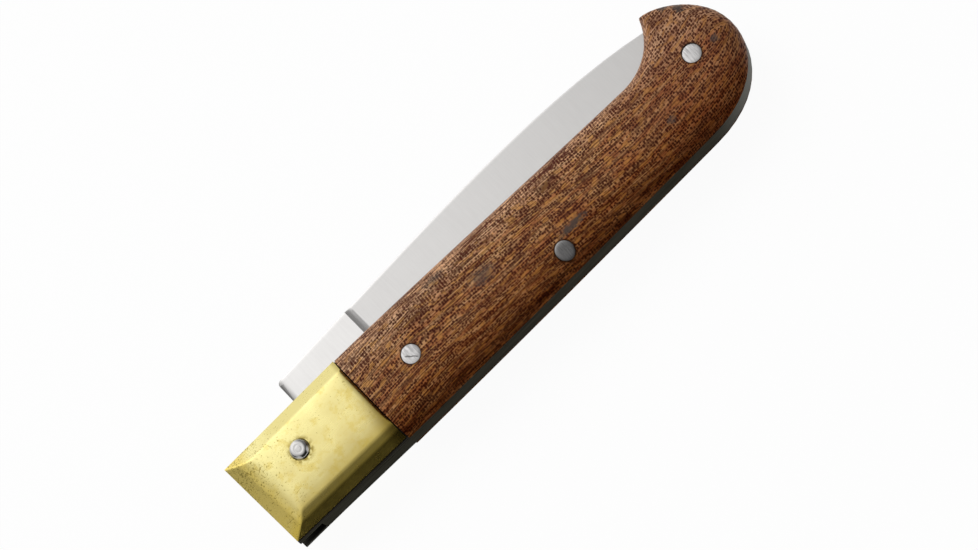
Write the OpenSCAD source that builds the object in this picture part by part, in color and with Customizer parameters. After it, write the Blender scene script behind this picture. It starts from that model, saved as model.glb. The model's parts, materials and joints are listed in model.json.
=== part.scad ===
// Folding knife, closed: brass bolsters, wood scales with a beaked pommel, steel blade and back spring.
// The outlines are drawn about the pivot axis, with x towards the pommel, y towards the opening side and
// z = 0 in the middle of the blade. place() then stands the knife on its lower wood face.

/* [Handle] */
// Length of the handle, end to end
handle_len = 108.1; // [106:0.1:110]
// Distance from the pivot to the front end of the bolsters
pivot_to_front = 11.3; // [10.8:0.1:12]
// How far the front end's lower corner lies behind its upper one
front_slant = 0.7; // [0:0.1:1]
// Thickness over both wood scales
handle_t = 12.6; // [12:0.1:13.6]
// Height of the opening edge above the pivot, along the bolsters
front_top = 7.4; // [7:0.1:7.8]
// Height of the opening edge at the waist, where the beak starts to rise
waist_top = 4.9; // [4.5:0.1:5.3]
// Radius of the hollow in front of the beak
beak_r = 10.65; // [10.2:0.05:11]
// Depth of the back below the pivot, at the front end
front_back = 10.05; // [9.9:0.05:10.2]
// Depth of the back below the pivot, along the wood
wood_back = 10.65; // [10.5:0.05:11]

/* [Wood scales] */
// Width of the rounded edge along the opening side
round_top = 3; // [2:0.1:3.5]
// Width of the rounded edge along the back
round_back = 6; // [4.5:0.1:6.5]
// Squareness of the rounded edge, 2 is an ellipse
round_power = 2.2; // [2:0.1:3]

/* [Bolsters] */
// Length of the bolsters
bolster_len = 24.6; // [23.5:0.1:25.5]
// Height of the crown above the liner
bolster_crown = 2.85; // [2.6:0.05:3.1]
// Width of the bevel round the sides
bolster_bevel = 2.9; // [2.5:0.1:3.1]

/* [Blade and spring] */
// Thickness of the blade stock
blade_t = 2.8; // [2.4:0.1:3]
// Free play between the blade and each liner
side_play = 0.05; // [0.04:0.01:0.1]
// Thickness of each liner
liner_t = 0.9; // [0.8:0.1:1.1]
// Distance from the pivot to the tang flats that the spring bears on
flat_r = 4.9; // [4.7:0.1:5.1]
// Radius of the tang's rounded end
cam_r = 5.6; // [5.4:0.1:5.8]
// Distance from the pivot to the tang shoulder
shoulder_x = 4.2; // [3.9:0.1:4.4]
// Height of the spine above the pivot, at the shoulder
spine_y = 11.95; // [11.8:0.05:12.2]
// Where the grind starts, as a share of the spine's curve
plunge_at = 0.182; // [0.16:0.001:0.22]
// Angle that the blade opens through
open_angle = 170; // [166:0.5:176]

/* [Pins] */
// Diameter of the three pins in the wood
pin_d = 3.2; // [2.8:0.1:3.4]
// Diameter of the pivot pin's shank
pivot_d = 3; // [2.6:0.1:3.2]
// Diameter of the pivot pin's domed heads
head_d = 3.45; // [3.4:0.05:3.6]
// Height of the domed heads
head_h = 0.8; // [0.6:0.05:0.9]

/* [Hidden] */
$fn = 64;

// Colours of the real pieces
brass = "#d8c25a";
wood = "#7a4a2a";
bright_steel = "#c9c8c6";
dull_steel = "#55554f";

// Clearances: a pin in its hole, the pivot pin in the tang, the spring's face to the tang's closed flat, the
// opened shoulder to the spring's nose, and the seam between bolster and wood
pin_fit = 0.01;
pivot_fit = 0.05;
face_gap = 0.05;
stop_gap = 0.15;
seam = 0.3;

// Levels of the stack above the middle plane
well_half = blade_t / 2 + side_play;
liner_face = well_half + liner_t;
wood_face = handle_t / 2;

// Places along the handle
front_x = -pivot_to_front;
end_x = front_x + handle_len;
bolster_x = front_x + bolster_len;
wood_x = bolster_x + seam;

// Pins in the wood
scale_pin_at = [23.2, -2];
spring_pin_at = [52, -7.8];
end_pin_at = [88.4, 0.35];
// Hidden pins of one bolster
bolster_pins_at = [[-7, -1.2], [8.5, -1.2]];
bolster_pin_d = 1.8;
bolster_pin_depth = 1.65;

// Point at share t of the cubic curve with the four control points p, and the curve as n straight steps
function on_curve(p, t) = let (s = 1 - t)
    s * s * s * p[0] + 3 * s * s * t * p[1] + 3 * s * t * t * p[2] + t * t * t * p[3];
function curve(p, n) = [for (i = [0:n]) on_curve(p, i / n)];
function arc(c, r, a0, a1, n) =
    [for (i = [0:n]) let (a = a0 + (a1 - a0) * i / n) c + r * [cos(a), sin(a)]];
// A stretch without its first point, which the stretch before it ends on
function tail(line) = [for (i = [1:len(line) - 1]) line[i]];
function blend(a, b, t) = a + (b - a) * t;

// Outline of the wood, clockwise from its front corner on the opening side. It has as many steps before the
// beak's tip as after it, so that the strips across its flat ends stay inside it.
beak_c = [end_x - 19.9, waist_top + beak_r];
beak_end = -24;
tip = beak_c + beak_r * [cos(beak_end), sin(beak_end)];
end_y = 0.55;
heel = [end_x - 15.1, -wood_back];
wood_corner = front_top - 0.3;
back_corner = wood_back - 0.12;
wood_line = concat(
    curve([[wood_x, wood_corner], [35, wood_corner - 0.4], [58, waist_top + 0.5], [beak_c.x, waist_top]], 18),
    tail(arc(beak_c, beak_r, -90, beak_end, 14)),
    tail(curve([tip, tip + [4, -0.2], [end_x, end_y + 6.4], [end_x, end_y]], 12)),
    tail(curve([[end_x, end_y], [end_x, end_y - 5.4], heel + [10, 0], heel], 12)),
    tail(curve([heel, [58, heel.y - 0.15], [33, heel.y - 0.15], [wood_x, -back_corner]], 8)));

// Outline of the liners and the spring: the wood's outline carried on under the bolsters
bolster_inset = 0.12;
liner_line = concat(
    [[front_x, front_top - bolster_inset], [bolster_x, front_top - bolster_inset]],
    wood_line,
    tail(curve([[wood_x, -back_corner], [6, -front_back - 0.3], [-3, -front_back],
                [front_x + front_slant, -front_back]], 8)));

// Levels of the wood's rounded edge: height and the share of the rounding that is used up
round_steps = 8;
crown = [for (i = [0:round_steps]) let (a = 90 * i / round_steps)
    [blend(liner_face, wood_face, pow(sin(a), 2 / round_power)), 1 - pow(cos(a), 2 / round_power)]];
crown_both = concat([for (i = [round_steps:-1:0]) [-crown[i][0], crown[i][1]]], crown);

// Outward normal of one step of a clockwise outline
function normal(a, b) = [a.y - b.y, b.x - a.x] / norm(b - a);
// Width of the rounding where the outline faces n, narrowing towards the beak's tip
fade_h = 6;
fade_end = 1.5;
function round_w(p, n) =
    (round_top * (1 + n.y) + round_back * (1 - n.y)) / 2 * min(1, (tip.y + fade_end - p.y) / fade_h);
// Way that point i of a line moves inwards, so that the front end stays flat
function inward(line, i) =
    i == 0 ? [0, -round_top]
    : i == len(line) - 1 ? [0, round_back]
    : let (n1 = normal(line[i - 1], line[i]), n2 = normal(line[i], line[i + 1]),
           m = (n1 + n2) / (1 + n1 * n2))
      -m * round_w(line[i], m / norm(m));
function ring(line, z, share) =
    [for (i = [0:len(line) - 1]) let (p = line[i] + share * inward(line, i)) [p.x, p.y, z]];

// Flat end of m points from point number first, as a strip between the ring's two halves, since it may be hollow
function end_strip(first, m) = [for (i = [0:ceil(m / 2) - 2]) let (a = first + i, b = first + m - 1 - i)
    each concat([[a, a + 1, b]], b - a > 2 ? [[a + 1, b - 1, b]] : [])];

// Solid through rings of equal length, each ring clockwise seen from the last one
module loft(rings) {
    m = len(rings[0]);
    last = len(rings) - 1;
    sides = [for (j = [0:last - 1], i = [0:m - 1]) let (k = (i + 1) % m, low = j * m, high = low + m)
        each [[low + i, low + k, high + k], [low + i, high + k, high + i]]];
    bottom = [for (f = end_strip(0, m)) [f[2], f[1], f[0]]];
    polyhedron([for (r = rings) each r], concat(bottom, sides, end_strip(last * m, m)), convexity = 6);
}

module wood_loft(levels) {
    loft([for (l = levels) ring(wood_line, l[0], l[1])]);
}

// Blade from the tang to the plunge, clockwise from the closed flat
blade_tip = [end_x - 6.3, 9.3];
spine_curve = [[shoulder_x, spine_y], [32, 12.5], [68, 15.8], blade_tip];
plunge_spine = on_curve(spine_curve, plunge_at);
edge_y = -3.6;
plunge_edge = [plunge_spine.x, edge_y];
flat_half = sqrt(cam_r * cam_r - flat_r * flat_r);
open_dir = 270 - open_angle;
function open_flat(s) = flat_r * [cos(open_dir), sin(open_dir)] + s * [sin(open_dir), -cos(open_dir)];
open_start = open_flat(-flat_half);
shoulder_foot = open_flat((shoulder_x - open_flat(0).x) / sin(open_dir));
shoulder_r = 0.8;
choil_w = 3;
choil_curve = [plunge_edge - [0.6, 0], plunge_edge - [1.6, 0],
               [plunge_edge.x + 0.6 - choil_w, -flat_r], [plunge_edge.x - choil_w, -flat_r]];
ricasso_line = concat(
    arc([0, 0], cam_r, 270 - atan2(flat_half, flat_r), atan2(open_start.y, open_start.x), 14),
    [shoulder_foot],
    arc([shoulder_x + shoulder_r, spine_y - shoulder_r], shoulder_r, 180, 90, 5),
    [for (i = [1:4]) on_curve(spine_curve, plunge_at * (0.25 + 0.75 * i / 4))],
    [plunge_edge],
    curve(choil_curve, 6));

// Ground part of the blade: flat from spine to edge, with the plunge's radius as its first stretch
point_h = 0.3;
edge_curve = [plunge_edge, [50, edge_y], [84, edge_y + 0.4], blade_tip - [0.1, point_h]];
grind_spine_half = blade_t / 2 - 0.35;
grind_edge_half = 0.12;
grind_point_half = 0.3;
plunge_share = 0.018;
plunge_steps = 6;
taper_power = 1.4;
function plunge_left(t) = t >= plunge_share ? 0 : pow(1 - t / plunge_share, 2);
function grind_half(t, half) = blend(half, blade_t / 2 - pin_fit, plunge_left(t));
// Section at share t of the ground part, clockwise seen from the tip
function blade_ring(t) =
    let (s = on_curve(spine_curve, blend(plunge_at, 1, t)), e = on_curve(edge_curve, t),
         hs = grind_half(t, blend(grind_spine_half, grind_point_half, pow(t, taper_power))),
         he = grind_half(t, grind_edge_half))
    [[s.x, s.y, hs], [s.x, s.y, -hs], [e.x, e.y, -he], [e.x, e.y, he]];
grind_steps = 14;
grind_at = concat([for (i = [0:plunge_steps]) plunge_share * i / plunge_steps],
                  [for (i = [1:grind_steps]) i / grind_steps]);
// First section, sunk into the ricasso
root_depth = 0.5;
root_ring = [for (p = blade_ring(0)) [p.x - root_depth, p.y - 2 * pin_fit * sign(p.y), p.z]];

// Middle of the knife's box, seen from above
mid_x = (front_x + end_x) / 2;
mid_y = (max([for (t = grind_at) blade_ring(t)[0].y]) + min([for (p = wood_line) p.y])) / 2;

module place() {
    translate([-mid_x, -mid_y, wood_face]) children();
}

module hole(at, d) {
    translate([at.x, at.y, -handle_t]) cylinder(d = d, h = 2 * handle_t);
}

module pin_holes(points, d) {
    for (at = points) hole(at, d + 2 * pin_fit);
}

module blade() color(bright_steel) place() difference() {
    union() {
        translate([0, 0, -blade_t / 2]) linear_extrude(blade_t) polygon(ricasso_line);
        loft(concat([root_ring], [for (t = grind_at) blade_ring(t)]));
    }
    hole([0, 0], pivot_d + 2 * pivot_fit);
}

// The spring lies below this line: its nose stops short of the opened shoulder, its face meets the closed
// flat, and behind the middle pin it rises round the blade's belly to fill the pommel
far = 40;
face_y = -flat_r - face_gap;
function nose_x(y) = (shoulder_x - stop_gap - y * sin(open_angle)) / cos(open_angle);
face_end = flat_half + 2.8;
spring_top = -5.2;
root_at = end_pin_at + [-3, 1.6];
root_y = 6.2;
spring_line = concat(
    [[nose_x(-far), -far], [nose_x(face_y), face_y], [face_end, face_y]],
    curve([[face_end + 2.5, face_y - 0.5], [30, -5.9], [42, spring_top], [spring_pin_at.x, spring_top]], 8),
    tail(curve([[spring_pin_at.x, spring_top], [68, spring_top], [81, spring_top - 1], root_at], 8)),
    tail(curve([root_at, root_at + [0.8, 1.6], [91, root_y - 0.6], [end_x + 1, root_y]], 6)),
    [[end_x + far, root_y], [end_x + far, -far]]);

module back_spring() color(dull_steel) place() difference() {
    intersection() {
        translate([0, 0, -well_half]) linear_extrude(2 * well_half) polygon(liner_line);
        translate([0, 0, -handle_t]) linear_extrude(2 * handle_t) polygon(spring_line);
    }
    pin_holes([spring_pin_at, end_pin_at], pin_d);
}

module liner() difference() {
    translate([0, 0, well_half]) linear_extrude(liner_t) polygon(liner_line);
    pin_holes([scale_pin_at, spring_pin_at, end_pin_at], pin_d);
    pin_holes([[0, 0]], pivot_d);
    pin_holes(bolster_pins_at, bolster_pin_d);
}

module front_liner() color(dull_steel) place() liner();

module rear_liner() color(dull_steel) place() mirror([0, 0, 1]) liner();

// Bolster as a pillow: for each level the height above the liner, the inset of the sides and front, and the
// inset of the rear end
side_h = 0.65;
bolster_levels = [
    [0, 0, 0],
    [side_h, 0, 0],
    [side_h + 0.9, bolster_bevel / 2, 0],
    [bolster_crown - 0.7, bolster_bevel, 0],
    [bolster_crown - 0.2, bolster_bevel + 1.5, 0.6],
    [bolster_crown, bolster_bevel + 2.6, 1.5]];
// How far the back edge is filed back from the liners
bolster_back_inset = 0.4;
skin = 0.01;

module bolster_slice(z, side, rear) {
    translate([0, 0, z]) linear_extrude(skin) polygon([
        [front_x + side, front_top - side],
        [bolster_x - rear, front_top - side],
        [bolster_x - rear, bolster_back_inset + side - back_corner],
        [front_x + front_slant + side, bolster_back_inset + side - front_back]]);
}

module bolster() difference() {
    hull() for (l = bolster_levels) bolster_slice(liner_face + max(0, l[0] - skin), l[1], l[2]);
    pin_holes([[0, 0]], pivot_d);
    intersection() {
        pin_holes(bolster_pins_at, bolster_pin_d);
        translate([-far, -far, -far]) cube([2 * far, 2 * far, far + liner_face + bolster_pin_depth]);
    }
}

module front_bolster() color(brass) place() bolster();

module rear_bolster() color(brass) place() mirror([0, 0, 1]) bolster();

module bolster_pins() {
    for (at = bolster_pins_at) translate([at.x, at.y, well_half])
        cylinder(d = bolster_pin_d, h = liner_t + bolster_pin_depth);
}

module front_bolster_pins() color(brass) place() bolster_pins();

module rear_bolster_pins() color(brass) place() mirror([0, 0, 1]) bolster_pins();

module wood_scale() difference() {
    wood_loft(crown);
    pin_holes([scale_pin_at, spring_pin_at, end_pin_at], pin_d);
}

module front_scale() color(wood) place() wood_scale();

module rear_scale() color(wood) place() mirror([0, 0, 1]) wood_scale();

// Pins in the flat of the wood are cut off square, flush with it
module scale_pin() {
    translate([scale_pin_at.x, scale_pin_at.y, well_half]) cylinder(d = pin_d, h = wood_face - well_half);
}

module front_scale_pin() color(bright_steel) place() scale_pin();

module rear_scale_pin() color(bright_steel) place() mirror([0, 0, 1]) scale_pin();

// The middle pin comes out of the rounded edge, so its ends follow the rounding
module spring_pin() color(bright_steel) place() intersection() {
    hole(spring_pin_at, pin_d);
    wood_loft(crown_both);
}

module end_pin() color(bright_steel) place() {
    translate([end_pin_at.x, end_pin_at.y, -wood_face]) cylinder(d = pin_d, h = handle_t);
}

// Pivot pin: a shank with a domed head peened over each bolster
head_base = liner_face + bolster_crown;
dome_r = (head_d * head_d / 4 + head_h * head_h) / (2 * head_h);

module pivot_head() intersection() {
    translate([0, 0, head_base + head_h - dome_r]) sphere(r = dome_r);
    translate([0, 0, head_base]) cylinder(d = head_d, h = head_h);
}

module pivot_pin() color(bright_steel) place() {
    translate([0, 0, -head_base]) cylinder(d = pivot_d, h = 2 * head_base);
    pivot_head();
    mirror([0, 0, 1]) pivot_head();
}

blade();
back_spring();
front_liner();
rear_liner();
front_bolster();
rear_bolster();
front_bolster_pins();
rear_bolster_pins();
front_scale();
rear_scale();
front_scale_pin();
rear_scale_pin();
spring_pin();
end_pin();
pivot_pin();
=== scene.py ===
# Folding knife, closed, lying on its rear scale: steel blade and back spring between steel liners, brass
# bolsters at the pivot, and wood scales with a beaked pommel. Lengths are metres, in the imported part's frame.
import json
import math

import bpy
from mathutils import Matrix, Vector


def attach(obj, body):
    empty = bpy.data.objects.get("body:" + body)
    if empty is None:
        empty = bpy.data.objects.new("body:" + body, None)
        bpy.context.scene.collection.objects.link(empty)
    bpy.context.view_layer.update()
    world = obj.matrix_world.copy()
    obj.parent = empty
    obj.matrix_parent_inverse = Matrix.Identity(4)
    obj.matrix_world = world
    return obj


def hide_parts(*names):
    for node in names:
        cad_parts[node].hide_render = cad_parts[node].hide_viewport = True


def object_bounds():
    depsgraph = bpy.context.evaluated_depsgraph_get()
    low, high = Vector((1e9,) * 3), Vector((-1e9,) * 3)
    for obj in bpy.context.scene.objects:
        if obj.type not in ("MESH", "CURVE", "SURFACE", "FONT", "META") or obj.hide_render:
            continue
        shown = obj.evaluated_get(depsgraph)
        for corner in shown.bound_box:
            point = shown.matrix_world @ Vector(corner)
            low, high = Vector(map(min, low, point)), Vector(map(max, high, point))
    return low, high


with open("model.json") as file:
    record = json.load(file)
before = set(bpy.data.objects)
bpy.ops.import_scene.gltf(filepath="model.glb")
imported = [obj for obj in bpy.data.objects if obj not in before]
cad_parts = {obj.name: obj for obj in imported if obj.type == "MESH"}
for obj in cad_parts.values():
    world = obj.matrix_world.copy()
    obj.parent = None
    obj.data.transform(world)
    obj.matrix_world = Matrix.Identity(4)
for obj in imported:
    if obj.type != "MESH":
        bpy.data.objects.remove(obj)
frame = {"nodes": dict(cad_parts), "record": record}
cad_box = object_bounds()


# Blade
# One forging of carbon steel: tang, ricasso and a flat grind that starts at the plunge line. It turns on the
# pivot rivet. The belt that finished it also broke the spine and the shoulder; the ground edge is sharp.
MM = 0.001
PIVOT = Vector(frame["record"]["behaviour"]["joints"][0]["pos_m"])
# Width of the broken edges, the height that they begin at, and where they end and thin out towards the tip
SPINE_ROUND, SPINE_LOW = 0.75, 6.5
TIP_X, TIP_FADE = 88, 12


def at(x, y, z=0.0):
    """A place in millimetres from the middle of the pivot, in the frame's metres."""
    return PIVOT + Vector((x, y, z)) * MM


def pick(piece):
    """Make one object the only selected one, and the active one."""
    if bpy.context.mode != "OBJECT":
        bpy.ops.object.mode_set(mode="OBJECT")
    bpy.ops.object.select_all(action="DESELECT")
    piece.select_set(True)
    bpy.context.view_layer.objects.active = piece


def copy_node(node, name, merge=0.002, flats=True):
    """A copy of a CAD node, with points closer than merge millimetres made one. Where flats is set, each flat
    face becomes one piece."""
    pick(frame["nodes"][node])
    bpy.ops.object.duplicate()
    piece = bpy.context.active_object
    piece.name = name
    piece.data.materials.clear()
    bpy.ops.object.mode_set(mode="EDIT")
    bpy.ops.mesh.select_all(action="SELECT")
    bpy.ops.mesh.customdata_custom_splitnormals_clear()
    bpy.ops.mesh.remove_doubles(threshold=merge * MM)
    if flats:
        bpy.ops.mesh.dissolve_limited(angle_limit=math.radians(0.5))
    bpy.ops.object.mode_set(mode="OBJECT")
    return piece


def round_edges(piece, width, segments, share, profile=0.5):
    """Round the edges that turn by over 25 degrees. share gives each one's part of the width from its middle and
    its two ends, in millimetres from the pivot. A profile over a half keeps the rounding close to the corner."""
    pick(piece)
    bpy.ops.object.mode_set(mode="EDIT")
    bpy.ops.mesh.select_mode(type="EDGE")
    bpy.ops.mesh.select_all(action="DESELECT")
    bpy.ops.mesh.edges_select_sharp(sharpness=math.radians(25))
    bpy.ops.object.mode_set(mode="OBJECT")
    points = [(v.co - PIVOT) / MM for v in piece.data.vertices]
    weights = piece.data.attributes.new("bevel_weight_edge", "FLOAT", "EDGE")
    for edge in piece.data.edges:
        if edge.select:
            a, b = (points[i] for i in edge.vertices)
            weights.data[edge.index].value = float(share((a + b) / 2, a, b))
    belt = piece.modifiers.new("belt", "BEVEL")
    belt.limit_method = "WEIGHT"
    belt.width = width * MM
    belt.segments = segments
    belt.profile = profile
    belt.use_clamp_overlap = False
    bpy.ops.object.modifier_apply(modifier=belt.name)


def smooth(piece, angle):
    """Shade edges that turn by less than an angle smooth, and leave flat faces flat."""
    pick(piece)
    bpy.ops.object.shade_smooth_by_angle(angle=math.radians(angle))
    weigh = piece.modifiers.new("flats", "WEIGHTED_NORMAL")
    weigh.keep_sharp = True
    bpy.ops.object.modifier_apply(modifier=weigh.name)


def spine_share(middle, a, b):
    """All of the width along the spine and the shoulder, less where the blade is thin, none elsewhere."""
    if middle.y < SPINE_LOW or middle.x > TIP_X or abs(a.z - b.z) > 0.5:
        return 0
    return min(1, 0.9 * abs(middle.z) / SPINE_ROUND, (TIP_X - middle.x) / TIP_FADE)


blade = copy_node("blade", "blade_forging", merge=0.02)
round_edges(blade, SPINE_ROUND, 12, spine_share, profile=0.8)
smooth(blade, 14)


def paint(colour):
    """An sRGB hex colour as linear red, green, blue and alpha."""
    parts = [int(colour[i:i + 2], 16) / 255 for i in (1, 3, 5)]
    return [p / 12.92 if p <= 0.04045 else ((p + 0.055) / 1.055) ** 2.4 for p in parts] + [1.0]


def add(tree, kind, inputs=None, **settings):
    """Add a shader node, set its properties, and fill or link its inputs."""
    made = tree.nodes.new("ShaderNode" + kind)
    for name, value in settings.items():
        setattr(made, name, value)
    for name, value in (inputs or {}).items():
        if isinstance(value, bpy.types.NodeSocket):
            tree.links.new(value, made.inputs[name])
        else:
            made.inputs[name].default_value = value
    return made


def start_material(name):
    """A new material with an empty tree, and its Object coordinates in millimetres from the pivot."""
    material = bpy.data.materials.new(name)
    material.use_nodes = True
    tree = material.node_tree
    tree.nodes.clear()
    place = add(tree, "TexCoord")
    millimetres = add(tree, "Mapping", {"Vector": place.outputs["Object"], "Location": -PIVOT / MM,
                                        "Scale": (1 / MM, 1 / MM, 1 / MM)})
    return material, tree, millimetres.outputs[0]


def finish_material(tree, surface):
    """Make a shader the surface that shows."""
    add(tree, "OutputMaterial", {"Surface": surface.outputs[0]})


def wear(piece, material):
    """Give a piece one material."""
    piece.data.materials.clear()
    piece.data.materials.append(material)


def lay(tree, below, above, *ranges, most=1.0, blend="MIX"):
    """Lay a colour over the one below it, up to the share that most gives. A range is a value and the two ends
    between which the new colour comes up. With several ranges, it comes up where all of them do."""
    share = most
    for value, bare, full in ranges:
        share = add(tree, "MapRange", {"Value": value, "From Min": bare, "From Max": full, "To Max": share},
                    interpolation_type="SMOOTHSTEP").outputs[0]
    lower, upper = (paint(c) if isinstance(c, str) else c for c in (below, above))
    return add(tree, "Mix", {0: share, 6: lower, 7: upper}, data_type="RGBA", blend_type=blend).outputs[2]


def steel(name, colour, dark, rough, lines, streak, depth, edge="#ffffff"):
    """Worked steel: a grey that drifts slowly, fine lines along one way, and the roughness that goes with them.
    lines gives their size along x, y and z in millimetres, streak and depth their strength in colour and in
    relief, and edge the colour that is mirrored at a glancing angle."""
    material, tree, mm = start_material(name)
    fit = add(tree, "Mapping", {"Vector": mm, "Scale": [1 / size for size in lines]})
    worked = add(tree, "TexNoise", {"Vector": fit.outputs[0], "Scale": 1.0, "Detail": 3.0}).outputs[0]
    # Drifts over 8 mm
    drift = add(tree, "TexNoise", {"Vector": mm, "Scale": 0.12, "Detail": 2.0})
    share = add(tree, "MapRange", {"Value": worked, "From Min": 0.3, "From Max": 0.7, "To Max": 2.0 * streak})
    both = add(tree, "Math", {0: share.outputs[0], 1: drift.outputs[0]}, operation="MULTIPLY")
    haze = add(tree, "MapRange", {"Value": worked, "From Min": 0.3, "From Max": 0.7,
                                  "To Min": rough - 0.06 * streak, "To Max": rough + 0.06 * streak})
    relief = add(tree, "Bump", {"Height": worked, "Strength": depth, "Distance": 0.02 * MM})
    finish_material(tree, add(tree, "BsdfPrincipled", {
        "Base Color": lay(tree, colour, dark, most=both.outputs[0]), "Metallic": 1.0,
        "Roughness": haze.outputs[0], "Specular Tint": paint(edge), "Normal": relief.outputs[0]}))
    return material


def reopen(material):
    """A steel's tree, its millimetres, its colour so far, and the input that takes its colour."""
    tree = material.node_tree
    mm = next(n for n in tree.nodes if n.type == "MAPPING").outputs[0]
    colour = next(n for n in tree.nodes if n.type == "BSDF_PRINCIPLED").inputs["Base Color"]
    return tree, mm, colour.links[0].from_socket, colour


# Satin carbon steel, ground on a fine belt: pale grey, a soft sheen and faint lines across the blade.
# The lines are drawn 0.25 mm apart, coarser than the belt leaves them, so that they show at all.
satin = steel("satin_carbon_steel", "#f3f1ef", "#e9e7e5", 0.34, (0.25, 4, 4), 0.3, 0.01)
# Painted shade: darker towards the tip, where the blade mirrors less of the light. A painted dark reflection
# darkens the shoulder at the end of the tang.
tree, mm, clean, colour = reopen(satin)
lengthwise = add(tree, "SeparateXYZ", {"Vector": mm}).outputs["X"]
tipward_shade = add(tree, "MapRange", {"Value": lengthwise, "From Min": 10.0, "From Max": 95.0})
clean = lay(tree, clean, "#ebebeb", most=tipward_shade.outputs[0], blend="MULTIPLY")
tree.links.new(lay(tree, clean, "#6a6866", (lengthwise, 5.6, 4.2), most=0.8), colour)
wear(blade, satin)
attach(blade, "blade")
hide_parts("blade")


# Back spring and liners
# The spring is cut from tool steel and tempered dark; its outer edge is filed flush with the liners. The two
# liners are punched from sheet steel. Together they show as one dark strip along the back.
PLATE_ROUND, PIVOT_HOLE = 0.08, 3


def outline_share(middle, a, b):
    """All of the width along a plate's outline, and none down its corners or round the pivot hole."""
    return abs(a.z - b.z) < 0.01 and middle.length > PIVOT_HOLE


# Tempered dark steel, painted nearly black to stand in for the shade along the back as well, with a dull sheen
# and faint file lines along the strip. A painted reflection makes it paler round the pommel.
dark_steel_and_shade = steel("tempered_steel_and_painted_shade", "#3a3834", "#282724", 0.45, (6, 0.3, 0.3), 0.8, 0.2, "#aeaeaa")
tree, mm, clean, colour = reopen(dark_steel_and_shade)
lengthwise = add(tree, "SeparateXYZ", {"Vector": mm}).outputs["X"]
tree.links.new(lay(tree, clean, "#84837f", (lengthwise, 80, 97)), colour)
for node in ("back_spring", "front_liner", "rear_liner"):
    plate = copy_node(node, node + "_plate")
    round_edges(plate, PLATE_ROUND, 2, outline_share)
    smooth(plate, 30)
    wear(plate, dark_steel_and_shade)
    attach(plate, "handle")
    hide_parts(node)


# Bolsters
# Two brass castings, filed to a pillow with wide bevels and polished by hand, soldered and pinned to the
# liners. The polish leaves hairlines, and casting pits show towards the front end.
BOLSTER_FRONT, BOLSTER_SLANT, BOLSTER_REAR = -11.299, 0.7, 13.3
BOLSTER_TOP, BOLSTER_BACK, BOLSTER_BACK_REAR = 7.4, -9.65, -10.13
LINER_FACE = 2.35
# Height of the pillow above the knife's middle, over the way in from each of its sides
UPPER_SLOPE = [(0, 2.75), (2.53, 4.81), (2.75, 4.89), (3.6, 4.96), (4.5, 5.01), (5.7, 5.05), (7, 5.08),
               (20, 5.12)]
BACK_SLOPE = [(0, 2.75), (1.21, 3.92), (1.5, 4.08), (2.54, 4.52), (2.92, 4.63), (3.48, 4.72), (4.13, 4.81),
              (4.95, 4.89), (5.93, 4.96), (7, 5.01), (8.1, 5.05), (9, 5.08), (20, 5.12)]
FRONT_SLOPE = [(0, 2.75), (2.25, 3.96), (2.63, 4.13), (3.75, 4.57), (4.1, 4.68), (4.45, 4.77), (4.85, 4.85),
               (5.2, 4.91), (5.6, 4.96), (6.2, 5.01), (7, 5.05), (8.9, 5.08), (30, 5.12)]
REAR_SLOPE = [(0, 4.7), (0.12, 4.81), (0.35, 4.89), (0.85, 4.96), (1.6, 5.01), (2.6, 5.05), (3.8, 5.08),
              (30, 5.12)]
# The front slope is narrower uphill than downhill: shares of its width at its two ends
FRONT_UPHILL, FRONT_DOWNHILL = 0.85, 1.1
HIP_ROUND = 0.15

# Polished cast brass: a clean yellow metal, slightly cloudy where hands and cloth have been. A painted warm
# reflection deepens its yellow downhill, towards the rear and on the front and back slopes. The clouds are 4 mm
# across.
brass, tree, mm = start_material("polished_cast_brass")
place = add(tree, "SeparateXYZ", {"Vector": mm})
lengthwise, height = place.outputs["X"], place.outputs["Y"]
cloud = add(tree, "TexNoise", {"Vector": mm, "Scale": 1 / 4, "Detail": 3.0, "Roughness": 0.5}).outputs[0]
cloudy = add(tree, "Math", {0: cloud, 1: 0.4}, operation="MULTIPLY")
rearward = add(tree, "Math", {0: lengthwise, 1: 0.006, 2: cloudy.outputs[0]}, operation="MULTIPLY_ADD")
downhill = add(tree, "Math", {0: height, 1: -0.02, 2: rearward.outputs[0]}, operation="MULTIPLY_ADD")
# Painted warm reflection: a deeper yellow downhill and towards the rear, mixed with the clouds
reflection_and_cloud = add(tree, "MapRange", {"Value": downhill.outputs[0], "From Min": 0.05, "From Max": 0.42})
tint = lay(tree, "#f8eda6", "#e6d48c", most=reflection_and_cloud.outputs[0])
# Stained a deeper gold in frayed patches 2.5 mm across, where the casting skin lies a little lower
stain = add(tree, "TexNoise", {"Vector": mm, "Scale": 1 / 2.5, "Detail": 6.0, "Roughness": 0.68}).outputs[0]
tint = lay(tree, tint, "#d8ba42", (stain, 0.48, 0.64), most=0.42)
# Painted warm reflection on the front and back slopes
back_slope = add(tree, "MapRange", {"Value": height, "From Min": -5.5, "From Max": -8.5})
front_slope = add(tree, "MapRange", {"Value": lengthwise, "From Min": -6.5, "From Max": -8.5, "To Max": 0.7})
slopes = add(tree, "Math", {0: back_slope.outputs[0], 1: front_slope.outputs[0]}, operation="MAXIMUM")
tint = lay(tree, tint, "#ecd062", most=slopes.outputs[0])
# Painted highlight: paler along the top bevel from the pivot back
tint = lay(tree, tint, "#eadc92", (lengthwise, -5.0, 0.0), (height, 4.9, 5.5))
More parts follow.
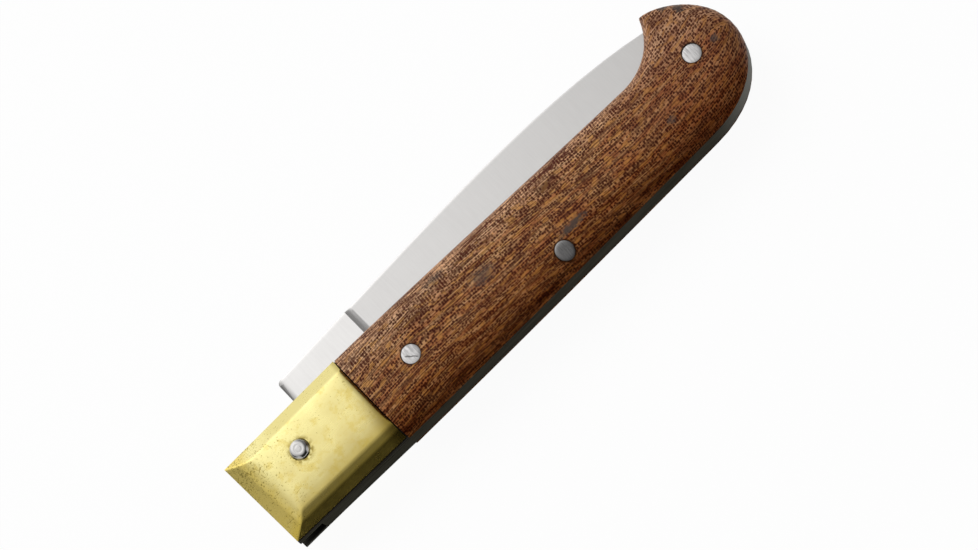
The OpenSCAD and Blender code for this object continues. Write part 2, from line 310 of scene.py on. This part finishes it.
# Painted shade where it meets the wood, more so low down, with the wood's painted reflection in its rear edge,
# and 0.8 mm patches of dirt in the joint round the rivet
tint = lay(tree, tint, "#8e7630", (lengthwise, 10.0, 13.4), (height, 1.5, -6.0), most=0.9)
tint = lay(tree, tint, "#a08a3e", (lengthwise, 12.2, 13.3), most=0.6)
flat = add(tree, "Mapping", {"Vector": mm, "Scale": (1, 1, 0)})
far = add(tree, "VectorMath", {0: flat.outputs[0]}, operation="LENGTH").outputs["Value"]
patchy = add(tree, "TexNoise", {"Vector": mm, "Scale": 1.2, "Detail": 2.0}).outputs[0]
tint = lay(tree, tint, "#a08c44", (far, 2.7, 1.7), (patchy, 0.35, 0.65))
# Fine casting pits in a 0.3 mm pattern, crowded in groups of 3 mm and towards the front end
specks = add(tree, "TexNoise", {"Vector": mm, "Scale": 3.2, "Detail": 2.0, "Roughness": 0.6, "Distortion": 0.6})
groups = add(tree, "TexNoise", {"Vector": mm, "Scale": 0.35, "Detail": 2.0})
forward = add(tree, "MapRange", {"Value": lengthwise, "From Min": 0.0, "From Max": -9.0,
                                 "To Min": -0.12, "To Max": 0.02})
uphill = add(tree, "MapRange", {"Value": height, "From Min": -9.0, "From Max": 4.0,
                                "To Min": -0.08, "To Max": 0.02})
skin = add(tree, "Math", {0: forward.outputs[0], 1: uphill.outputs[0]})
packed = add(tree, "Math", {0: groups.outputs[0], 1: 0.3, 2: skin.outputs[0]}, operation="MULTIPLY_ADD")
deep = add(tree, "Math", {0: specks.outputs[0], 1: packed.outputs[0]})
pits = add(tree, "MapRange", {"Value": deep.outputs[0], "From Min": 0.7, "From Max": 0.8}).outputs[0]
pit_dirt = add(tree, "Math", {0: pits, 1: 0.8}, operation="MULTIPLY")
tint = lay(tree, tint, "#9a863a", most=pit_dirt.outputs[0])
# Hairlines of the polish, 4 mm long and a sixth of a millimetre apart, coarser than the cloth leaves them
wiped = add(tree, "Mapping", {"Vector": mm, "Rotation": (0, 0, math.radians(35)), "Scale": (1 / 4, 6, 6)})
hairs = add(tree, "TexNoise", {"Vector": wiped.outputs[0], "Scale": 1.0, "Detail": 2.0})
rubbed = add(tree, "Math", {0: hairs.outputs[0], 1: 0.35}, operation="MULTIPLY")
sunk = add(tree, "Math", {0: stain, 1: 1.2, 2: pits}, operation="MULTIPLY_ADD")
dents = add(tree, "Math", {0: rubbed.outputs[0], 1: sunk.outputs[0]}, operation="SUBTRACT")
relief = add(tree, "Bump", {"Height": dents.outputs[0], "Strength": 0.22, "Distance": 0.05 * MM})
haze = add(tree, "MapRange", {"Value": cloud, "From Min": 0.3, "From Max": 0.7, "To Min": 0.26, "To Max": 0.31})
finish_material(tree, add(tree, "BsdfPrincipled", {
    "Base Color": tint, "Metallic": 1.0, "Roughness": haze.outputs[0], "Normal": relief.outputs[0]}))


def height_at(slope, inset):
    """Height of a slope at a way in from its side, straight between its points."""
    for (i, low), (j, high) in zip(slope, slope[1:]):
        if inset <= j:
            return low + (high - low) * (inset - i) / (j - i)
    return slope[-1][1]


def meet(a, b):
    """The lower of two heights, with the ridge between them filed round."""
    near = max(HIP_ROUND - abs(a - b), 0) / HIP_ROUND
    return min(a, b) - near * near * HIP_ROUND / 4


for side, name in ((1, "front_bolster"), (-1, "rear_bolster")):
    bpy.ops.object.select_all(action="DESELECT")
    bpy.ops.mesh.primitive_grid_add(x_subdivisions=160, y_subdivisions=112, size=1, location=at(0, 0))
    block = bpy.context.active_object
    block.name = name + "_casting"
    bpy.ops.object.transform_apply(location=True, rotation=True, scale=True)
    # The back edge drops a little towards the wood, and the front end leans back towards its lower corner
    for v in block.data.vertices:
        along, across = (v.co - PIVOT).xy + Vector((0.5, 0.5))
        front = BOLSTER_FRONT + BOLSTER_SLANT * (1 - across)
        back = BOLSTER_BACK + (BOLSTER_BACK_REAR - BOLSTER_BACK) * along
        x = front + along * (BOLSTER_REAR - front)
        y = back + across * (BOLSTER_TOP - back)
        narrow = FRONT_DOWNHILL + (FRONT_UPHILL - FRONT_DOWNHILL) * across
        z = meet(height_at(UPPER_SLOPE, BOLSTER_TOP - y), height_at(BACK_SLOPE, y - back))
        z = meet(z, height_at(FRONT_SLOPE, (x - front) / narrow))
        z = meet(z, height_at(REAR_SLOPE, BOLSTER_REAR - x))
        v.co = at(x, y, side * z)
    # Walls down to the liner, and the face that lies on it
    bpy.ops.object.mode_set(mode="EDIT")
    bpy.ops.mesh.select_mode(type="VERT")
    bpy.ops.mesh.select_all(action="SELECT")
    bpy.ops.mesh.region_to_loop()
    bpy.ops.mesh.extrude_region_move()
    bpy.ops.transform.resize(value=(1, 1, 0), center_override=at(0, 0, side * LINER_FACE))
    bpy.ops.mesh.edge_face_add()
    bpy.ops.mesh.select_all(action="SELECT")
    bpy.ops.mesh.normals_make_consistent(inside=False)
    bpy.ops.object.mode_set(mode="OBJECT")
    smooth(block, 40)
    wear(block, brass)
    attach(block, "handle")
    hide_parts(name)
# The hidden pins that hold the bolsters stay as the part has them
for node in ("front_bolster_pins", "rear_bolster_pins"):
    wear(frame["nodes"][node], brass)


# Wood scales
# Two slabs of a brown tropical hardwood, sawn along the grain, pinned to the liners and rounded over by hand
# until they meet the liners. Oiled, so the open pores stay dark.
SCALE_FACE = 6.3
FRONT_PIN, SPRING_PIN, END_PIN = (23.2, -2.0), (52.0, -7.8), (88.4, 0.35)
PIN_HOLE = 1.65
POMMEL_FROM, POMMEL_TO = 66, 82
# The grain falls by 5 degrees in the middle of the handle, and swings up towards its ends
GRAIN_TURN, GRAIN_MIDDLE, GRAIN_SWING = 5, 50.0, -5.2e-5
# The lines along the opening edge fall by less
EDGE_TURN = 2
# Share of the drop at the rounded edges that counts as a way across the grain
EDGE_WRAP = 0.7
# Grey marks of handling: place, length and width in millimetres, and strength
HANDLING_MARKS = [(39.9, -1.2, 3.4, 1.9, 0.65), (34, 4.2, 2.8, 1, 0.6), (55.7, -5.8, 3.8, 1, 0.9),
                  (78.5, -5.1, 1.3, 0.9, 0.6), (90.6, 9.3, 1.5, 1, 0.9), (92.2, 7.5, 1.2, 1.4, 0.9),
                  (92.6, -0.5, 1.1, 1, 0.7)]

# Oiled mahogany: golden to red brown, with a fine net of short dark pores, lines along the grain and flecks
# across it. The figure is laid out along x and round the section, so that it runs on over the rounded edges,
# and it wanders by about a millimetre in 33 mm.
wood, tree, mm = start_material("oiled_mahogany")
place = add(tree, "SeparateXYZ", {"Vector": mm})
lengthwise, height = place.outputs["X"], place.outputs["Y"]
outward = add(tree, "Math", {0: place.outputs["Z"]}, operation="ABSOLUTE")
drop = add(tree, "Math", {0: SCALE_FACE, 1: outward.outputs[0]}, operation="SUBTRACT").outputs[0]
half = add(tree, "Math", {0: height}, operation="SIGN")
fall = add(tree, "Math", {0: drop, 1: half.outputs[0]}, operation="MULTIPLY")
leaning = add(tree, "Math", {0: fall.outputs[0], 1: EDGE_WRAP, 2: height}, operation="MULTIPLY_ADD")
flat = add(tree, "CombineXYZ", {"X": lengthwise, "Y": leaning.outputs[0]}).outputs[0]
turned = add(tree, "Mapping", {"Vector": flat, "Rotation": (0, 0, math.radians(GRAIN_TURN))})
wide = add(tree, "Mapping", {"Vector": flat, "Scale": (0.03, 0.12, 1)})
bend = add(tree, "TexNoise", {"Vector": wide.outputs[0], "Scale": 1.0, "Detail": 2.0}, noise_dimensions="2D")
wander = add(tree, "MapRange", {"Value": bend.outputs[0], "To Min": -1.2, "To Max": 1.2})
away = add(tree, "Math", {0: lengthwise, 1: GRAIN_MIDDLE}, operation="SUBTRACT")
cubed = add(tree, "Math", {0: away.outputs[0], 1: 3.0}, operation="POWER")
swing = add(tree, "Math", {0: cubed.outputs[0], 1: GRAIN_SWING, 2: wander.outputs[0]}, operation="MULTIPLY_ADD")
warp = add(tree, "CombineXYZ", {"Y": swing.outputs[0]})
along = add(tree, "VectorMath", {0: turned.outputs[0], 1: warp.outputs[0]}, operation="ADD").outputs[0]


def grain(length, width, detail=2.0, ground=along):
    """Noise in the wood's own grain, with its size along and across it in millimetres."""
    fit = add(tree, "Mapping", {"Vector": ground, "Scale": (1 / length, 1 / width, 1)})
    return add(tree, "TexNoise", {"Vector": fit.outputs[0], "Scale": 1.0, "Detail": detail},
               noise_dimensions="2D").outputs[0]


def cells(length, width, stray):
    """One wood cell in each field of a given size in millimetres, strayed from its middle."""
    fit = add(tree, "Mapping", {"Vector": along, "Scale": (1 / length, 1 / width, 1)})
    return add(tree, "TexVoronoi", {"Vector": fit.outputs[0], "Scale": 1.0, "Randomness": stray},
               voronoi_dimensions="2D")


colour = lay(tree, "#b4764a", "#d0a070", (grain(6, 0.8, 4.0), 0.38, 0.64))
# Painted light: paler uphill, on the side that faces the light
colour = lay(tree, colour, "#f2c8a0", (height, 0.0, 5.0), most=0.6)
# Darker fields, and golden ones that have few pores
colour = lay(tree, colour, "#6e3a22", (grain(5, 1.6, 3.0), 0.5, 0.36), most=0.45)
golden = grain(2.0, 0.7, 3.0)
colour = lay(tree, colour, "#d09650", (golden, 0.56, 0.63), most=0.7)
# Redder at the pommel, where the fine dark lines along the grain fade
colour = lay(tree, colour, "#8a4c32", (lengthwise, POMMEL_FROM, POMMEL_TO), most=0.4)
fade = add(tree, "MapRange", {"Value": lengthwise, "From Min": POMMEL_FROM, "From Max": POMMEL_TO,
                              "To Min": 0.72, "To Max": 0.5}, interpolation_type="SMOOTHSTEP")
colour = lay(tree, colour, "#40170c", (grain(6, 0.19), 0.5, 0.55), most=fade.outputs[0])
# Straight light and dark lines along the opening edge
straight = add(tree, "Mapping", {"Vector": flat, "Rotation": (0, 0, math.radians(EDGE_TURN))}).outputs[0]
level = add(tree, "Mapping", {"Vector": mm, "Rotation": (0, 0, math.radians(EDGE_TURN))}).outputs[0]
edge = add(tree, "SeparateXYZ", {"Vector": level}).outputs["Y"]
stripes = lay(tree, "#4c2012", "#dcaa80", (grain(8, 0.26, 2.0, straight), 0.47, 0.56))
colour = lay(tree, colour, stripes, (edge, 4.6, 6.0), (lengthwise, 80, 70), (drop, 3.2, 1.4), most=0.8)
# Pores: short dark dots, one in nearly every field of the net, fewer in golden fields and between their rows.
# They are drawn about three times as wide as real ones, so that they show.
pore = cells(0.48, 0.42, 0.5)
kind = add(tree, "SeparateXYZ", {"Vector": pore.outputs["Color"]}).outputs["X"]
sparse = add(tree, "MapRange", {"Value": golden, "From Min": 0.56, "From Max": 0.63, "To Min": 1.0,
                                "To Max": 0.25}, interpolation_type="SMOOTHSTEP")
rows = add(tree, "MapRange", {"Value": grain(12, 0.9), "From Min": 0.36, "From Max": 0.5, "To Min": 0.6})
dense = add(tree, "MapRange", {"Value": lengthwise, "From Min": POMMEL_FROM, "From Max": POMMEL_TO,
                               "To Max": 0.9}, interpolation_type="SMOOTHSTEP")
crowd = add(tree, "Math", {0: rows.outputs[0], 1: dense.outputs[0]}, operation="MAXIMUM")
open_share = add(tree, "Math", {0: sparse.outputs[0], 1: crowd.outputs[0]}, operation="MULTIPLY")
opened = add(tree, "MapRange", {"Value": kind, "From Min": 0.1, "From Max": 0.2,
                                "To Max": open_share.outputs[0]}, interpolation_type="SMOOTHSTEP")
pores = add(tree, "MapRange", {"Value": pore.outputs["Distance"], "From Min": 0.5, "From Max": 0.36,
                               "To Max": opened.outputs[0]}, interpolation_type="SMOOTHSTEP").outputs[0]
pore_dirt = add(tree, "Math", {0: pores, 1: 0.92}, operation="MULTIPLY")
colour = lay(tree, colour, "#3e140a", most=pore_dirt.outputs[0])
# Groups of flecks across the grain, in a band below the opening edge
fleck = cells(0.55, 1.7, 0.35).outputs["Distance"]
colour = lay(tree, colour, "#4a1c10", (fleck, 0.42, 0.3), (height, 1.2, 2.2), (height, 5.2, 4.2),
             (grain(3.5, 2.5), 0.5, 0.58), most=0.85)
# Painted shade, darker towards the back, where the rounding turns away from the light, and a painted shadow
# in the seam, as a thin dark line along the wood's front end at the bolster
colour = lay(tree, colour, "#d6c2b0", (height, 5.0, -10.5), blend="MULTIPLY")
colour = lay(tree, colour, "#d8c8bc", (height, -8.0, -10.8), blend="MULTIPLY")
colour = lay(tree, colour, "#170c06", (lengthwise, 13.6, 13.42))
# Dirt in the joint round each pin
for x, y in (FRONT_PIN, SPRING_PIN, END_PIN):
    spot = add(tree, "Mapping", {"Vector": mm, "Location": (-x, -y, 0), "Scale": (1, 1, 0)})
    far = add(tree, "VectorMath", {0: spot.outputs[0]}, operation="LENGTH").outputs["Value"]
    colour = lay(tree, colour, "#1d0e07", (far, PIN_HOLE + 0.3, PIN_HOLE), most=0.85)
frayed = grain(0.8, 0.4)
for x, y, length, width, strength in HANDLING_MARKS:
    mark = add(tree, "Mapping", {"Vector": mm, "Location": (-x / length, -y / width, 0),
                                 "Scale": (1 / length, 1 / width, 0)})
    far = add(tree, "VectorMath", {0: mark.outputs[0]}, operation="LENGTH").outputs["Value"]
    ragged = add(tree, "Math", {0: frayed, 1: 1.2, 2: far}, operation="MULTIPLY_ADD").outputs[0]
    colour = lay(tree, colour, "#4c433e", (ragged, 1.6, 0.9), most=strength)
# The oil shines a little on the face and has worn off along the back, where the hand holds the knife
sheen = add(tree, "MapRange", {"Value": height, "From Min": -8.0, "From Max": -3.0, "To Max": 0.12},
            interpolation_type="SMOOTHSTEP")
haze = add(tree, "MapRange", {"Value": pores, "To Min": 0.42, "To Max": 0.7})
relief = add(tree, "Bump", {"Height": pores, "Strength": 0.25, "Distance": 0.04 * MM}, invert=True)
finish_material(tree, add(tree, "BsdfPrincipled", {
    "Base Color": colour, "Roughness": haze.outputs[0], "Specular IOR Level": sheen.outputs[0],
    "Normal": relief.outputs[0]}))
for node in ("front_scale", "rear_scale"):
    slab = copy_node(node, node + "_slab", flats=False)
    smooth(slab, 35)
    wear(slab, wood)
    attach(slab, "handle")
    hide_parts(node)


# Pins in the wood
# Lengths of mild steel rod, hammered into the wood and filed off flush, which leaves coarse scratches and a
# slightly domed end. Two go right through the handle; the front and the rear pin each end in their liner.
PIN_R = 1.6
SHORT_PIN_END, SHORT_PIN_TOP = 1.45, 6.3
SPRING_PIN_TOP, SPRING_PIN_TILT = 5.65, 22
END_PIN_TOP, END_PIN_TILT = 6.25, -2
# Each pin's place, its two ends from the knife's middle, and the slope of the wood that its ends are filed to
PINS = [("front_scale_pin", FRONT_PIN, SHORT_PIN_END, SHORT_PIN_TOP, 0),
        ("rear_scale_pin", FRONT_PIN, -SHORT_PIN_TOP, -SHORT_PIN_END, 0),
        ("spring_pin", SPRING_PIN, -SPRING_PIN_TOP, SPRING_PIN_TOP, SPRING_PIN_TILT),
        ("end_pin", END_PIN, -END_PIN_TOP, END_PIN_TOP, END_PIN_TILT)]
# The dome: how far the end's rim lies back, and the inset and rise of each ring towards the middle
DOME_RIM, DOME_RINGS = 0.06, [(0.12, 0.03), (0.35, 0.02), (0.5, 0.01)]
# Only ends farther out than this show
SHOWN_END = 4
SCRATCH_X, SCRATCH_Y, SCRATCH_TURN, SCRATCH_HALF = 23.0, -2.38, 46, 1.2

# Filed mild steel: a bright grey that file scratches break into light and dark streaks
pin_steel = steel("filed_mild_steel", "#dddbda", "#7c7a7a", 0.3, (0.2, 1.4, 1.4), 0.55, 0.5)
# The file has slipped once and left a deep, slightly wavy scratch across the front pin
tree, mm, clean, colour = reopen(pin_steel)
spot = add(tree, "Mapping", {"Vector": mm, "Location": (-SCRATCH_X, -SCRATCH_Y, 0)})
turned = add(tree, "Mapping", {"Vector": spot.outputs[0], "Rotation": (0, 0, math.radians(SCRATCH_TURN))})
ways = add(tree, "SeparateXYZ", {"Vector": turned.outputs[0]})
shake = add(tree, "TexNoise", {"Vector": mm, "Scale": 1.5, "Detail": 2.0})
wave = add(tree, "MapRange", {"Value": shake.outputs[0], "To Min": 0.2, "To Max": -0.2})
beside = add(tree, "Math", {0: ways.outputs["Y"], 1: wave.outputs[0]})
off = add(tree, "Math", {0: beside.outputs[0]}, operation="ABSOLUTE").outputs[0]
lengthwise = add(tree, "Math", {0: ways.outputs["X"]}, operation="ABSOLUTE").outputs[0]
scratched = lay(tree, clean, "#3c3a39", (off, 0.15, 0.05), (lengthwise, SCRATCH_HALF, SCRATCH_HALF - 0.3),
                (ways.outputs["Z"], 0.0, 1.0), most=0.75)
tree.links.new(scratched, colour)
for node, (x, y), low, high, tilt in PINS:
    # A slanted end is cut from a longer rod
    reach = 1.0 if tilt else 0.0
    bpy.ops.object.select_all(action="DESELECT")
    bpy.ops.mesh.primitive_cylinder_add(vertices=64, radius=PIN_R * MM, depth=(high - low + 2 * reach) * MM,
                                        location=at(x, y, (low + high) / 2))
    rod = bpy.context.active_object
    rod.name = node + "_rod"
    bpy.ops.object.transform_apply(location=True, rotation=True, scale=True)
    if tilt:
        # Cut off at the slope of the wood, at both ends
        lean = math.radians(tilt)
        for side in (1, -1):
            bpy.ops.object.mode_set(mode="EDIT")
            bpy.ops.mesh.select_all(action="SELECT")
            bpy.ops.mesh.bisect(plane_co=at(x, y, side * high),
                                plane_no=(0, -math.sin(lean), side * math.cos(lean)),
                                use_fill=True, clear_outer=True)
            bpy.ops.object.mode_set(mode="OBJECT")
    for side in (1, -1):
        bpy.ops.object.mode_set(mode="EDIT")
        bpy.ops.mesh.select_mode(type="FACE")
        bpy.ops.mesh.select_all(action="DESELECT")
        bpy.ops.object.mode_set(mode="OBJECT")
        # The end is the outermost face with many corners
        end = max(rod.data.polygons, key=lambda f: side * f.center.z if len(f.vertices) > 8 else -1)
        if side * (end.center.z - PIVOT.z) < SHOWN_END * MM:
            continue
        end.select = True
        bpy.ops.object.mode_set(mode="EDIT")
        bpy.ops.transform.translate(value=(0, 0, -side * DOME_RIM * MM))
        for ring, rise in DOME_RINGS:
            bpy.ops.mesh.inset(thickness=ring * MM, depth=0)
            bpy.ops.transform.translate(value=(0, 0, side * rise * MM))
        bpy.ops.object.mode_set(mode="OBJECT")
    smooth(rod, 40)
    wear(rod, pin_steel)
    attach(rod, "handle")
    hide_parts(node)


# Pivot rivet
# A steel rod through bolsters, liners and tang, the axle that the blade turns on. Both of its ends are hammered
# over into low heads, a little off the rod's middle, and polished.
RIVET_R, HEAD_BASE = 1.5, 4.98
HEAD_R, HEAD_H, HEAD_X, HEAD_Y = 1.8, 0.85, -0.1, 0.25
# How flat the hammer has made the heads, and the shallow ring that it left round a button in their middle
HEAD_FLAT = 6
RING_R, RING_WIDTH, RING_DEPTH = 0.62, 0.14, 0.035
# The heads are cut off just above their base
HEAD_CUT = 0.02
dome_r = (HEAD_R ** 2 + HEAD_H ** 2) / (2 * HEAD_H)
# Polished steel: a mirror that is hardly broken, grey where the surroundings are pale and black where dark
bright_steel = steel("polished_steel", "#cfcdcb", "#b4b2b0", 0.12, (0.5, 0.5, 0.5), 0.4, 0.1)
bpy.ops.object.select_all(action="DESELECT")
bpy.ops.mesh.primitive_cylinder_add(vertices=64, radius=RIVET_R * MM, depth=2 * HEAD_BASE * MM,
                                    location=at(0, 0))
rivet = bpy.context.active_object
rivet.name = "pivot_rivet"
bpy.ops.object.transform_apply(location=True, rotation=True, scale=True)
for side in (1, -1):
    bpy.ops.object.select_all(action="DESELECT")
    bpy.ops.mesh.primitive_uv_sphere_add(segments=64, ring_count=48, radius=dome_r * MM,
                                         location=at(HEAD_X, HEAD_Y, side * (HEAD_BASE + HEAD_H - dome_r)))
    head = bpy.context.active_object
    bpy.ops.object.transform_apply(location=True, rotation=True, scale=True)
    bpy.ops.object.mode_set(mode="EDIT")
    bpy.ops.mesh.select_all(action="SELECT")
    bpy.ops.mesh.bisect(plane_co=at(0, 0, side * (HEAD_BASE + HEAD_CUT)), plane_no=(0, 0, -side), use_fill=True,
                        clear_outer=True)
    bpy.ops.object.mode_set(mode="OBJECT")
    for v in head.data.vertices:
        out = (v.co - at(HEAD_X, HEAD_Y)).xy.length / MM
        ring = RING_DEPTH * math.exp(-((out - RING_R) / RING_WIDTH) ** 2)
        if side * (v.co.z - PIVOT.z) > (HEAD_BASE + HEAD_CUT + 0.01) * MM:
            v.co.z = PIVOT.z + side * (HEAD_BASE + HEAD_H * (1 - (out / HEAD_R) ** HEAD_FLAT) - ring) * MM
    head.select_set(True)
    rivet.select_set(True)
    bpy.context.view_layer.objects.active = rivet
    bpy.ops.object.join()
smooth(rivet, 40)
wear(rivet, bright_steel)
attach(rivet, "handle")
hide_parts("pivot_pin")


# Table, light and camera
# A white table under the knife, a light tent that is bright to the left of the picture and dark to its right,
# and a long lens that looks down at the front scale, 17 degrees off square, with the knife along a diagonal.
TABLE, TABLE_GAP = 4.0, 0.02
bpy.ops.object.select_all(action="DESELECT")
bpy.ops.mesh.primitive_plane_add(size=TABLE, location=(0, 0, cad_box[0][2] - TABLE_GAP * MM))
table = bpy.context.active_object
table.name = "table"
bpy.ops.object.transform_apply(location=True, rotation=True, scale=True)
# White paper: to the camera, in metal and through glass nearly all of it is the white of the background, and
# the small share of matt paper that is left keeps the knife's shadow
PAPER_WHITE = 0.95
paper = bpy.data.materials.new("white_paper")
paper.use_nodes = True
tree = paper.node_tree
tree.nodes.clear()
ray = add(tree, "LightPath")
mirror = add(tree, "Math", {0: ray.outputs["Is Glossy Ray"], 1: ray.outputs["Is Transmission Ray"]},
             operation="MAXIMUM")
seen = add(tree, "Math", {0: ray.outputs["Is Camera Ray"], 1: mirror.outputs[0]}, operation="MAXIMUM")
share = add(tree, "Math", {0: seen.outputs[0], 1: PAPER_WHITE}, operation="MULTIPLY")
matt = add(tree, "BsdfDiffuse", {"Color": paint("#f4f4f4")})
white = add(tree, "Emission", {"Color": paint("#ffffff"), "Strength": 1.0})
finish_material(tree, add(tree, "MixShader", {0: share.outputs[0], 1: matt.outputs[0], 2: white.outputs[0]}))
wear(table, paper)

world = bpy.data.worlds.new("light_tent")
bpy.context.scene.world = world
world.use_nodes = True
tree = world.node_tree
tree.nodes.clear()
way = add(tree, "TexCoord")


def panel(axis, stops):
    """Brightness of the tent, over the cosine of the angle to an axis."""
    lean = add(tree, "VectorMath", {0: way.outputs["Generated"], 1: axis}, operation="DOT_PRODUCT")
    turn = add(tree, "MapRange", {"Value": lean.outputs["Value"], "From Min": -1.0, "From Max": 1.0})
    ramp = add(tree, "ValToRGB", {"Fac": turn.outputs[0]})
    for i, (cosine, value) in enumerate(stops):
        stop = ramp.color_ramp.elements[i] if i < 2 else ramp.color_ramp.elements.new((cosine + 1) / 2)
        stop.position = (cosine + 1) / 2
        stop.color = (value, value, value, 1)
    return ramp.outputs[0]


uphill_side = panel((0, 0.8, 0.6), [
    (-1, 0.02), (-0.18, 0.03), (0, 0.06), (0.14, 0.11), (0.22, 0.2), (0.31, 0.34), (0.4, 0.47), (0.5, 0.62),
    (0.6, 0.74), (0.69, 0.85), (0.75, 0.93), (0.81, 1.05), (0.86, 1.28), (0.92, 1.4), (1, 1.4)])
ends = panel((1, 0, 0), [
    (-1, 0.05), (-0.95, 0.3), (-0.88, 0.8), (-0.83, 0.97), (-0.6, 1.02), (-0.1, 1.06), (0, 0.98), (0.1, 0.76),
    (0.2, 0.6), (0.35, 0.4), (0.5, 0.24), (0.65, 0.25), (0.83, 0.35), (1, 0.4)])
# The dark wall has pale corners, which the knife mirrors when it is seen from behind
low_side = panel((0, -1, 0), [(-1, 0), (0.1, 0), (0.45, 1), (1, 1)])
corners = panel((1, 0, 0), [(-1, 0.6), (-0.6, 0.6), (-0.42, 0), (0.42, 0), (0.6, 0.6), (1, 0.6)])
walls = add(tree, "VectorMath", {0: uphill_side, 1: ends}, operation="MULTIPLY")
light = add(tree, "VectorMath", {0: low_side, 1: corners, 2: walls.outputs[0]}, operation="MULTIPLY_ADD")
glow = add(tree, "Background", {"Color": light.outputs[0], "Strength": 1.0})
add(tree, "OutputWorld", {"Surface": glow.outputs[0]})

# A large lamp fills in the matt pieces; it is kept out of the metal's mirror
fill = bpy.data.lights.new("fill_lamp", "AREA")
fill.energy = 4.0
fill.size = 0.6
lamp = bpy.data.objects.new("fill_lamp", fill)
bpy.context.collection.objects.link(lamp)
lamp.location = (-0.15, 0.6, 0.78)
lamp.rotation_euler = lamp.location.to_track_quat("Z", "Y").to_euler()
lamp.visible_glossy = False

TILT = math.radians(17)
# Millimetres from the camera to the knife, and pixels to a millimetre there
DISTANCE, PIXELS = 520, 6.235
FRAME_W, SENSOR = 978, 36
FOCUS = at(40.787, -0.0165)
toward = Vector((0, -math.sin(TILT), math.cos(TILT)))
uphill = Vector((0, math.cos(TILT), math.sin(TILT)))
right = (Vector((1, 0, 0)) - uphill).normalized()
up = (Vector((1, 0, 0)) + uphill).normalized()
lens = bpy.data.cameras.new("camera")
lens.sensor_width = SENSOR
lens.lens = PIXELS * DISTANCE * SENSOR / FRAME_W
lens.clip_start = 0.01
lens.clip_end = 20
camera = bpy.data.objects.new("camera", lens)
bpy.context.collection.objects.link(camera)
stand = FOCUS + toward * DISTANCE * MM
camera.matrix_world = Matrix([(right[i], up[i], toward[i], stand[i]) for i in range(3)] + [(0, 0, 0, 1)])
bpy.context.scene.camera = camera
bpy.context.scene.view_settings.view_transform = "Standard"
